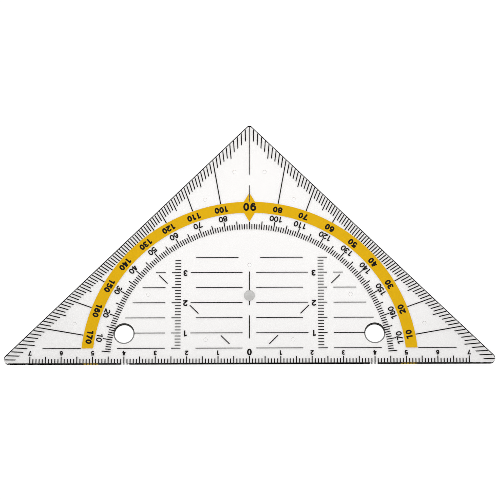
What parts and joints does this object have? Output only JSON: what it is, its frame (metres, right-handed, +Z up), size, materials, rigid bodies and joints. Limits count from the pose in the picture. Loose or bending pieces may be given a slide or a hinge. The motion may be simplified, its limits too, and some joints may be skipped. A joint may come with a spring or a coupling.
{
  "type": "set square with protractor",
  "caption": "Clear flat right-angled set square with a printed centimetre scale, a protractor arc with a yellow number band, parallel lines and round holes, for drawing and measuring.",
  "frame": {"origin": "zero mark in the middle of the long edge, in the plane of the nub feet that the plate stands on", "axes": "+X along the long edge, +Y from the long edge to the right-angled corner, +Z up through the plate"},
  "size_m": [0.1562, 0.0798, 0.0023],
  "materials": {
    "clear_plastic": "polished clear moulding",
    "black_ink": "printed black ink",
    "yellow_ink": "printed yellow ink"
  },
  "bodies": {
    "root": {"clear_plate": "clear_plastic", "yellow_protractor_band": "yellow_ink", "long_edge_millimetre_ticks": "black_ink", "long_edge_half_centimetre_ticks": "black_ink", "long_edge_centimetre_ticks": "black_ink", "inner_degree_ticks": "black_ink", "inner_five_degree_ticks": "black_ink", "inner_ten_degree_ticks": "black_ink", "leg_degree_ticks": "black_ink", "leg_five_degree_ticks": "black_ink", "leg_ten_degree_lines": "black_ink", "right_angle_line": "black_ink", "centre_line_dashes": "black_ink", "diagonal_dashes": "black_ink", "centre_parallel_lines": "black_ink", "outer_parallel_lines": "black_ink", "corner_parallel_lines": "black_ink", "left_height_scale": "black_ink", "right_height_scale": "black_ink"}
  },
  "joints": []
}
